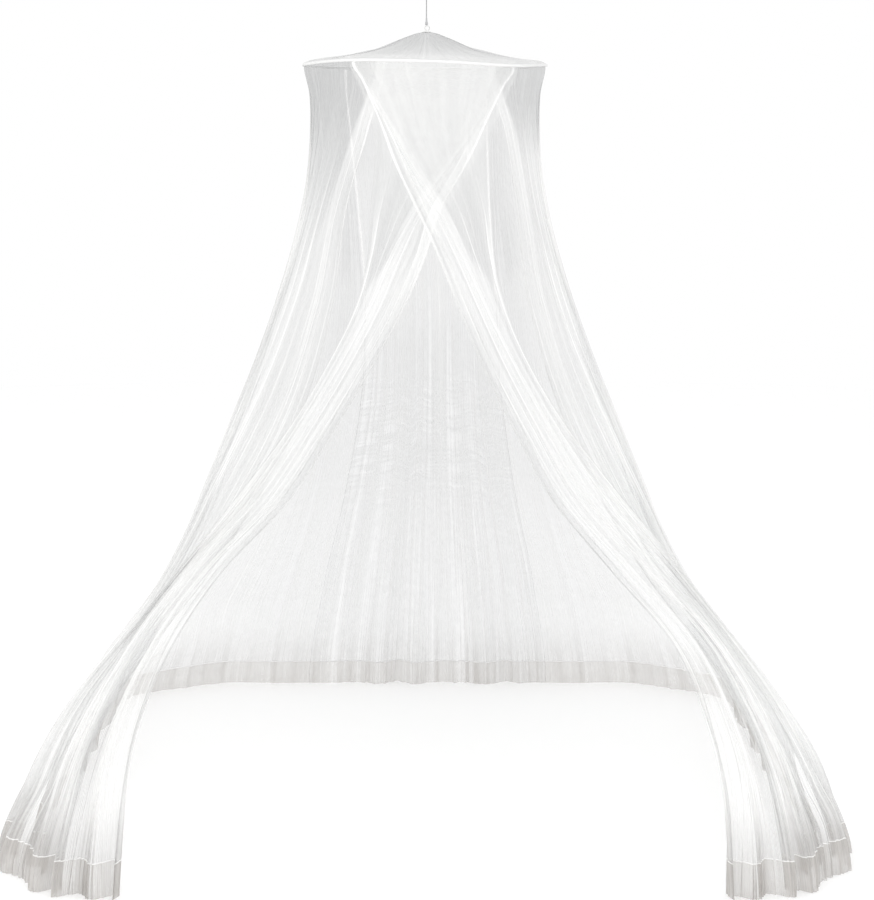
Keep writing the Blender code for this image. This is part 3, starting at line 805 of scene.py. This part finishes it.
def panelPoints(side, table, seed, hemline):
    across, down = gridOf(panel["columns"], panel["rows"])
    height = canopy["hoopHeight"] * (1 - down)
    pulled = panel["pull"] * ease(2.385, 2.33, height) * ease(2.05, 2.26, height)
    edge = along(table, "hem", height) + (pulled if hemline == "split" else -pulled)
    hem = angleAt(edge, height)
    band = angleAt(along(table, "band", height), height)
    far = angleAt(along(table, "far", height), height)
    share = panel["share"]
    inner = hem + (band - hem) * across / share
    outer = band + (far - band) * (across - share) / (1 - share)
    angle = np.where(across < share, inner, outer)
    depth = along(table, "fold", height)
    main = depth * foldWave(panelFolds, across, height)
    room = np.abs(along(table, "far", height) - along(table, "band", height)) / panel["room"]
    main = main * np.where(across < share, 1.0, np.clip(room, 0.15, 1.0))
    top = ease(1.90, 2.25, height)
    fine = depth * panel["fine"] * gathers(across, height, seed, panel["gathers"])
    fine = fine * (1 - 0.8 * ease(0.9, 1.5, height))
    fold = main * (1 - 0.7 * ease(1.0, 1.7, height)) + fine * ease(0.0, 0.04, across)
    points = hungPoint(height, angle, along(table, "lift", height), fold)
    # the dense band of gathers beside the hem, then looser net that hangs from the hoop
    arc = arcs(points)
    whole = arc[:, -1:]
    gathered = ease(1.78, 1.58, height) * ease(0.60, 0.95, height)
    width = np.interp(height, *panel["band"])
    width = width + (0.97 * whole - width) * gathered
    inBand = 1 - ease(width * 0.88, width * 1.06, arc)
    begin = ease(0.0, 1.0, arc / (0.0001 + panel["softEdge"] * ease(1.95, 1.45, height)))
    inBand = inBand * (0.25 + 0.75 * begin)
    # high up the hem is drawn straight: two lines of stitching, or one broad turning
    high = ease(1.60, 1.86, height)
    turning = stitchPlace(height)
    if hemline == "split":
        between = 1.3 * high * ease(2.34, 2.22, height) * np.exp(-(((arc / turning - 0.5) / 0.30) ** 2))
        broad = 0 * arc
    else:
        between = high * 0.35 * np.exp(-(((arc / turning - 1.35) / 0.30) ** 2))
        broad = high * (1 - ease(turning * 0.95, turning * 1.15, arc))
        inBand = inBand * (1 - 0.35 * high)
    loose = ease(0.72, 1.0, across) * (1 - gathered)
    crest = main / np.maximum(depth, 1e-6)
    density = 0.24 + 0.60 * inBand + 0.06 * crest * (1 - top) - 0.10 * loose - 0.06 * top * (1 - inBand)
    # painted light and shade on the fold crests, and painted light low down
    tone = 0.60 + 0.42 * inBand + 0.05 * crest * (1 - top) + 0.11 * top * (1 - inBand)
    tone += 0.12 * ease(1.1, 0.4, height)
    density += 0.9 * broad - 0.75 * between
    tone += 0.5 * broad - 0.45 * between
    # where the other panel does not reach, the net is darker; over the other it hardly shows
    if hemline == "split":
        alone = ease(0.0, 0.03, points[..., 0] - along(leftPanel, "hem", height))
    else:
        alone = ease(0.0, 0.03, along(rightPanel, "hem", height) - points[..., 0])
    openNet = (1 - gathered) * (1 - inBand) * ease(1.55, 1.75, height)
    density -= panel["veil"][hemline] * (1 - 0.5 * alone) * openNet
    tone -= panel["alone"] * alone * openNet * ease(2.30, 2.15, height)
    for middle, half, drop in panel["gaps"][side]:
        slit = drop * np.exp(-(((arc / width - middle) / half) ** 2)) * (1 - top)
        density -= slit
        tone -= 0.8 * slit
    gather = 0.85 - 0.70 * ease(1.72, 2.02, height) * (1 - 0.5 * inBand) - 0.35 * inBand
    gather = gather * (1 - 0.7 * broad)
    # the broad turning's glow is painted light
    return points, {
        "density": np.clip(density, -0.4, 1), "gather": gather, "tone": tone,
        "glow": panel["turningGlow"] * broad,
    }


def stitchPlace(height):
    return panel["stitchOff"] + panel["stitchFurther"] * ease(2.32, 2.10, height)


def addPanels(cloth):
    for side, node, table, seed, hemline, flip in panelSides:
        points, layers = panelPoints(side, table, seed, hemline)
        sheet = hang("panel" + side, node, points, cloth, flip, panel["spread"], layers)
        height = rowHeights(points)
        zero = np.zeros_like(height)
        # lit: where the hem and stitching get a painted glow
        lit = ease(1.95, 2.15, height)
        narrow = ease(2.10, 2.25, height) if hemline == "split" else zero
        wide = panel["hemWidth"] - panel["hemNarrows"] * narrow
        edge = strip(
            "panelHem" + side, points, cloth, zero, wide, panel["hemThickness"], flip,
            layers=shownHigh(height, 1.45, 1.90, panel["hemGlow"][hemline] * lit),
        )
        if hemline == "broad":
            lit = ease(1.72, 1.82, height) * ease(2.28, 2.15, height)
        wide = zero + panel["stitchWidth"]
        seam = strip(
            "panelStitch" + side, points, cloth, stitchPlace(height), wide,
            panel["stitchThickness"], flip,
            layers=shownHigh(height, 1.45, 1.90, panel["stitchGlow"] * lit),
        )
    print("front panels hung")


crown = {
    "rise": 0.1185, "hole": 0.009, "power": 1.55, "columns": 360, "rings": 90, "spacing": 1.2,
    "flat": (0.86, 0.86), "area": 0.58, "rippleA": 0.0035, "rippleB": 0.0022, "creases": 0.0010,
    "creaseWaves": ((23, 0.4), (31, 1.7), (44, 2.9), (57, 0.2)),   # how many round, start
    "ridgeHeight": 0.0016,
    "above": 0.5,                # keeps the cloth's foot pattern off the crown
    # pulled folds from the peak to the rim: angle from the front, width, strength
    "ridges": (
        (-38, 2.4, 0.55), (-47, 3.0, -0.25), (-60, 2.2, 0.30), (-76, 2.6, 0.50), (-87, 2.6, 0.45),
        (50, 3.0, -0.30), (63, 3.0, 0.25), (84, 3.0, 0.40), (-12, 2.0, 0.12), (24, 2.4, 0.10),
    ),
}
# how far the crown's net stands off the tent's plain curve, from the rim to the peak
crownStand = {
    "columns": ("shared", "stand"),
    "rows": (
        (1.00, 0.0), (0.96, 0.0070), (0.90, 0.0092), (0.80, 0.0080), (0.69, 0.0056), (0.56, 0.0036),
        (0.41, -0.0006), (0.33, 0.0017), (0.25, 0.0045), (0.17, 0.0058), (0.09, 0.0050),
        (0.04, 0.0008), (0.0, 0.0),
    ),
}


def tentHeight(shared):
    # the tent's plain curve: shared is 0 at the peak and 1 at the rim
    rim = canopy["floorZ"] + canopy["hoopHeight"]
    return rim + crown["rise"] * (1 - shared) ** crown["power"]


def addCrown(cloth):
    across, down = gridOf(crown["columns"], crown["rings"])
    angle = 2 * math.pi * across
    reach = crown["hole"] + (canopy["hoopRadius"] - crown["hole"]) * down ** crown["spacing"]
    seat = canopy["bindingRadius"] + canopy["gap"] + canopy["netThickness"] / 2
    shared = reach / canopy["hoopRadius"]
    belly = np.clip(np.sin(math.pi * shared), 0, None) ** 1.5
    ripple = crown["rippleA"] * np.sin(7 * angle + 0.9) + crown["rippleB"] * np.sin(12 * angle + 2.0)
    crease = np.zeros_like(angle)
    for k, (often, start) in enumerate(crown["creaseWaves"]):
        wave = 1 - 2 * np.abs(np.sin(often * angle / 2 + start))
        crease += wave * (0.6 + 0.4 * np.sin(angle * (2 + k) + start)) / 3
    fine = crown["creases"] * crease * np.clip(1.15 - shared, 0, 1) * ease(0.0, 0.12, shared)
    ridge = np.zeros_like(angle)
    for middle, width, strength in crown["ridges"]:
        ridge += strength * hill(angle, middle, width) * ease(0.0, 0.10, shared)
    z = tentHeight(shared) + shared**2 * (rimLift(angle) + seat) + belly * ripple + fine
    z = z + crown["ridgeHeight"] * ridge * belly + along(crownStand, "stand", shared)
    x = canopy["hoopX"] * shared + reach * np.sin(angle)
    points = np.stack((x, -reach * np.cos(angle), z), axis=-1)
    # painted shade round the peak, painted light to the front and towards the rim, and painted light
    # and shade on the fold ridges and creases
    peak = hill(shared * math.pi, 32, 34)
    front = hill(angle, 8, 62)
    density = 0.34 + 0.22 * peak + 0.07 * crease + 0.35 * ridge
    gather = 0.35 * np.clip(1.2 - shared, 0, 1)
    tone = 0.20 - 0.26 * peak + 0.34 * front * ease(0.25, 0.95, shared) + 0.08 * crease + 0.60 * ridge
    tone += (0.14 + 0.10 * front) * ease(0.70, 0.95, shared)
    # painted shade at the rim on the left side
    tone = tone - 0.16 * ease(0.80, 0.95, shared) * ease(0.24, 0.36, -points[..., 0])
    layers = {"density": np.clip(density, 0, 1), "gather": gather, "tone": tone}
    spread = crown["flat"][0] * math.pi
    sheet = meshFrom("crownNet", points, cloth, False, spread, layers, crown["above"])
    weld(sheet, 0.00002)
    dress(sheet, "crown")
    print("crown stretched")


sleeve = {
    "steps": 360, "around": 16, "radius": 0.0044, "slot": math.radians(4.0), "wall": 0.0012,
    "ruche": 0.0002,
}


def addSleeve(hem):
    across, down = gridOf(sleeve["steps"], sleeve["around"])
    angle = math.pi + sleeve["slot"] + (2 * math.pi - 2 * sleeve["slot"]) * across
    turn = 2 * math.pi * down
    # the sleeve is a little ruched on the rod
    ruche = 0.5 * np.sin(61 * angle + 0.6 * np.sin(turn)) + 0.5 * np.sin(97 * angle + 1.3)
    radius = sleeve["radius"] + sleeve["ruche"] * ruche * np.sin(turn * 0.5 + 0.8) ** 2
    rim = canopy["hoopRadius"] + radius * np.cos(turn)
    x = canopy["hoopX"] + rim * np.sin(angle)
    z = canopy["floorZ"] + canopy["hoopHeight"] + rimLift(angle) + radius * np.sin(turn)
    points = np.stack((x, -rim * np.cos(angle), z), axis=-1)
    # painted shade: grey towards both ends of the sleeve, and darker on its rear half
    dusk = 0.28 * ease(0.24, 0.34, np.abs(x - 0.02)) + 0.20 * ease(0.0, 0.2, points[..., 1])
    piece = meshFrom("rimBinding", points, hem, layers={"dusk": np.clip(dusk, 0, 1)})
    weld(piece, 0.00002, outwards=True)
    thicken(piece, sleeve["wall"])
    dress(piece, "rim_binding")
    print("rim sleeve threaded")


def tube(name, points, diameter, material, closed=False):
    curve = bpy.data.curves.new(name, "CURVE")
    curve.dimensions = "3D"
    curve.bevel_depth = diameter / 2
    curve.bevel_resolution = 4
    curve.use_fill_caps = not closed
    spline = curve.splines.new("POLY")
    spline.points.add(len(points) - 1)
    for spot, point in zip(spline.points, points):
        spot.co = (*point, 1.0)
    spline.use_cyclic_u = closed
    curve.materials.append(material)
    return placed(name, curve)


def turned(name, profile, steps, material):
    # a profile of radius and height, spun round the upright axis
    bm = bmesh.new()
    spots = [bm.verts.new((radius, 0.0, z)) for radius, z in profile]
    edges = [bm.edges.new(pair) for pair in zip(spots, spots[1:])]
    bmesh.ops.spin(
        bm, geom=spots + edges, cent=(0, 0, 0), axis=(0, 0, 1), angle=2 * math.pi,
        steps=steps, use_merge=True,
    )
    bmesh.ops.remove_doubles(bm, verts=bm.verts, dist=0.00001)
    bmesh.ops.recalc_face_normals(bm, faces=bm.faces)
    mesh = bpy.data.meshes.new(name)
    bm.to_mesh(mesh)
    bm.free()
    mesh.shade_smooth()
    mesh.materials.append(material)
    return placed(name, mesh)


cord = {
    "pale": (0.50, 0.50, 0.51, 1.0), "dark": (0.27, 0.27, 0.275, 1.0),
    "strands": 3.0, "braidPitch": 0.0062,
    "diameter": 0.0034, "top": -0.0623, "bottom": -0.1367, "length": 0.0744, "steps": 20,
    "loopTop": -0.0324, "loopBottom": -0.0500, "loopHalfWidth": 0.0050, "loopSteps": 36,
    # the knot is a whipping of four turns
    "knotTop": -0.0520, "knotBottom": -0.0620, "knotRadius": 0.0030, "knotStrand": 0.0026,
    "knotTurns": 4, "knotSteps": 14, "knotInset": 0.0018,
    "capTop": -0.1370, "capBottom": -0.1628, "capSteps": 32,
    # the cap's profile: radius, and how far below its top
    "cap": (
        (0.0, 0.0), (0.0019, 0.0), (0.0023, 0.0004), (0.0026, 0.0020), (0.0029, 0.0070),
        (0.0034, 0.0130), (0.0044, 0.0170), (0.0052, 0.0200), (0.0053, 0.0212),
        (0.0050, 0.0228), (0.0046, 0.0244), (0.0036, 0.0252), (0.0, 0.0258),
    ),
}


def addCord(braid, capFinish):
    top, bottom, steps = cord["top"], cord["bottom"], cord["steps"]
    run = [(0.0, 0.0, bottom + (top - bottom) * k / steps) for k in range(steps + 1)]
    hanging = tube("hangingCord", run, cord["diameter"], braid)
    loop = []
    top, bottom, steps = cord["loopTop"], cord["loopBottom"], cord["loopSteps"]
    for k in range(steps):
        turn = 2 * math.pi * k / steps
        z = (top + bottom) / 2 + (top - bottom) / 2 * math.cos(turn)
        loop.append((0.0, cord["loopHalfWidth"] * math.sin(turn), z))
    eye = tube("cordLoop", loop, cord["diameter"], braid, closed=True)
    wraps = []
    top, bottom = cord["knotTop"] - cord["knotInset"], cord["knotBottom"] + cord["knotInset"]
    radius, steps = cord["knotRadius"], cord["knotTurns"] * cord["knotSteps"]
    for k in range(steps + 1):
        turn = 2 * math.pi * k / cord["knotSteps"]
        z = top + (bottom - top) * k / steps
        wraps.append((radius * math.cos(turn), radius * math.sin(turn), z))
    knot = tube("cordKnot", wraps, cord["knotStrand"], braid)
    profile = [(radius, cord["capTop"] - drop) for radius, drop in cord["cap"]]
    cap = turned("cordCap", profile, cord["capSteps"], capFinish)
    dress(hanging, "hanging_cord")
    dress(eye, "cord_loop")
    dress(knot, "cord_knot")
    dress(cap, "cord_cap")
    print("cord hung")


topRing = {"radius": 0.0080, "wire": 0.0032, "x": 0.0020, "gap": 0.0003, "steps": 48}
ringMiddle = cord["capBottom"] - topRing["gap"] - topRing["radius"] - topRing["wire"] / 2


def addTopRing(plastic):
    ring = []
    for k in range(topRing["steps"]):
        turn = 2 * math.pi * k / topRing["steps"]
        x = topRing["x"] + topRing["radius"] * math.sin(turn)
        ring.append((x, 0.0, ringMiddle - topRing["radius"] * math.cos(turn)))
    piece = tube("topRing", ring, topRing["wire"], plastic, closed=True)
    dress(piece, "top_ring")
    print("ring set")


patch = {
    "steps": 96, "rings": 12, "hole": 0.0004, "width": 0.0156, "above": 0.0024, "wall": 0.0012,
    "rucheA": 0.0004, "rucheB": 0.0003,
}


def addPatch(hem):
    # a ruched disc of tape on the crown's peak
    across, down = gridOf(patch["steps"], patch["rings"])
    angle = 2 * math.pi * across
    reach = patch["hole"] + patch["width"] * down
    ruche = patch["rucheA"] * np.sin(19 * angle) + patch["rucheB"] * np.sin(31 * angle + 1)
    z = tentHeight(reach / canopy["hoopRadius"]) + patch["above"] + down * ruche
    points = np.stack((reach * np.sin(angle), -reach * np.cos(angle), z), axis=-1)
    piece = meshFrom("apexPatch", points, hem)
    weld(piece, 0.00001)
    thicken(piece, patch["wall"])
    dress(piece, "apex_patch")


tab = {"columns": 8, "rows": 48, "width": 0.0044, "wall": 0.0009, "inset": 0.0005}


def addTab(hem):
    # the tape loop that holds the ring: over its wire, and down on both sides to the patch
    low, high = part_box("ring_tab")
    bend = (high[1] - low[1]) / 2 - tab["inset"]
    wire = ringMiddle - topRing["radius"]
    across, down = gridOf(tab["columns"], tab["rows"])
    turn = math.pi * (down * 1.5 - 0.25)
    bound = np.clip(turn, 0, math.pi)
    leg = np.where(turn < 0, -turn, np.clip(turn - math.pi, 0, None)) / (math.pi / 4)
    z = wire + bend * np.sin(bound) + (low[2] - wire) * leg
    x = topRing["x"] + tab["width"] * (across - 0.5)
    piece = meshFrom("ringTab", np.stack((x, -bend * np.cos(bound), z), axis=-1), hem)
    thicken(piece, tab["wall"], 0.0)
    dress(piece, "ring_tab")
    print("patch and tab sewn on")


def addFloor():
    bm = bmesh.new()
    bmesh.ops.create_circle(bm, cap_ends=True, segments=96, radius=studio["floorRadius"])
    bmesh.ops.translate(bm, verts=bm.verts, vec=(0, 0, studio["floorZ"]))
    mesh = bpy.data.meshes.new("floor")
    bm.to_mesh(mesh)
    bm.free()
    s = Shader("floorPaint")
    worn = s.noise(s.place(), (0.6, 0.6, 0.6), 3.0)
    pale = studio["floorColour"]
    shade = s.blend(worn, (*pale, 1.0), (*[c * 0.998 for c in pale], 1.0))
    glow = {"Emission_Color": (1.0, 1.0, 1.0, 1.0), "Emission_Strength": studio["floorGlow"]}
    finish = s.finish(Base_Color=shade, Roughness=0.85, Specular_IOR_Level=0.1, **glow)
    mesh.materials.append(finish)
    placed("floor", mesh)


def main():
    addCamera()
    addLight()
    addFloor()
    cloth = netCloth("whiteNet")
    hem = tapeCloth("whiteTape")
    braid = cordBraid("greyCord")
    capFinish, plastic, rod, metal = (hardFinish(name, *look) for name, look in finishes.items())
    addCord(braid, capFinish)
    addTopRing(plastic)
    addPatch(hem)
    addTab(hem)
    addCrown(cloth)
    addSleeve(hem)
    addWalls(cloth)
    addBack(cloth)
    addPanels(cloth)
    for node, finish in (("hoop", rod), ("ceiling_plate", metal), ("ceiling_hook", metal)):
        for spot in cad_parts[node].material_slots:
            spot.material = finish
    print("fittings and hoop painted")


main()
bpy.context.view_layer.update()
print("pieces placed")
